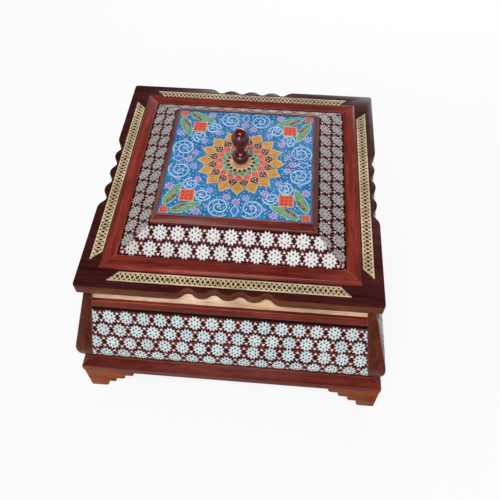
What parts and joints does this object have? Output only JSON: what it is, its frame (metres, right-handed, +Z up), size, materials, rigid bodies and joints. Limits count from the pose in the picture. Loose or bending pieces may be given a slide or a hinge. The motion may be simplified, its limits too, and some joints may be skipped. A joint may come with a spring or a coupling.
{
  "type": "inlaid wooden box",
  "caption": "Square flared wooden box on bracket feet with micro-mosaic inlaid sides, a scalloped lift-off lid, a painted medallion panel and a turned knob.",
  "frame": {"origin": "on the floor, under the middle of the four feet", "axes": "+Z up through the knob, -Y out of the front, +X to the right seen from the front"},
  "size_m": [0.2724, 0.2724, 0.2196],
  "materials": {
    "plain_wood": "plain planed",
    "pale_wood": "planed and lacquered",
    "plinth_wood": "red-brown stain under gloss lacquer",
    "foot_wood": "orange-brown stain under gloss lacquer",
    "post_wood": "red-brown stain under gloss lacquer",
    "wall_mosaic": "micro-mosaic veneer under gloss lacquer",
    "rail_wood": "red-brown stain under gloss lacquer",
    "flange_wood": "dark purple-brown stain under gloss lacquer",
    "border_inlay": "inlaid strip under gloss lacquer",
    "frame_wood": "red-brown stain under gloss lacquer",
    "lid_mosaic": "micro-mosaic veneer under gloss lacquer",
    "painted_panel": "painted ornament under gloss lacquer",
    "collar_wood": "turned, lacquered",
    "knob_lacquer": "turned, dark gloss lacquer"
  },
  "bodies": {
    "box": {"base_panel": "plain_wood", "corner_post_back_left": "post_wood", "corner_post_back_right": "post_wood", "corner_post_front_left": "post_wood", "corner_post_front_right": "post_wood", "foot_blocks": "plain_wood", "foot_board_left_back": "foot_wood", "foot_board_left_front": "foot_wood", "foot_board_left_left": "foot_wood", "foot_board_left_right": "foot_wood", "foot_board_right_back": "foot_wood", "foot_board_right_front": "foot_wood", "foot_board_right_left": "foot_wood", "foot_board_right_right": "foot_wood", "plinth_rail_back": "plinth_wood", "plinth_rail_front": "plinth_wood", "plinth_rail_left": "plinth_wood", "plinth_rail_right": "plinth_wood", "top_rail_back": "rail_wood", "top_rail_front": "rail_wood", "top_rail_left": "rail_wood", "top_rail_right": "rail_wood", "wall_board_back": "pale_wood", "wall_board_front": "pale_wood", "wall_board_left": "pale_wood", "wall_board_right": "pale_wood", "wall_inlay_back": "wall_mosaic", "wall_inlay_front": "wall_mosaic", "wall_inlay_left": "wall_mosaic", "wall_inlay_right": "wall_mosaic"},
    "lid": {"border_strip_back": "border_inlay", "border_strip_front": "border_inlay", "border_strip_left": "border_inlay", "border_strip_right": "border_inlay", "centre_frame_back": "frame_wood", "centre_frame_front": "frame_wood", "centre_frame_left": "frame_wood", "centre_frame_right": "frame_wood", "flange_board": "flange_wood", "frame_moulding_back": "frame_wood", "frame_moulding_front": "frame_wood", "frame_moulding_left": "frame_wood", "frame_moulding_right": "frame_wood", "knob": "knob_lacquer", "knob_collar": "collar_wood", "lid_batten_back": "plain_wood", "lid_batten_front": "plain_wood", "lid_batten_left": "plain_wood", "lid_batten_right": "plain_wood", "lid_core": "plain_wood", "lid_inlay_back": "lid_mosaic", "lid_inlay_front": "lid_mosaic", "lid_inlay_left": "lid_mosaic", "lid_inlay_right": "lid_mosaic", "painted_panel": "painted_panel"}
  },
  "joints": [
    {"name": "lid_lift", "type": "slide", "parent": "box", "child": "lid", "axis": [0, 0, 1], "range_m": [0, 0.15]}
  ]
}
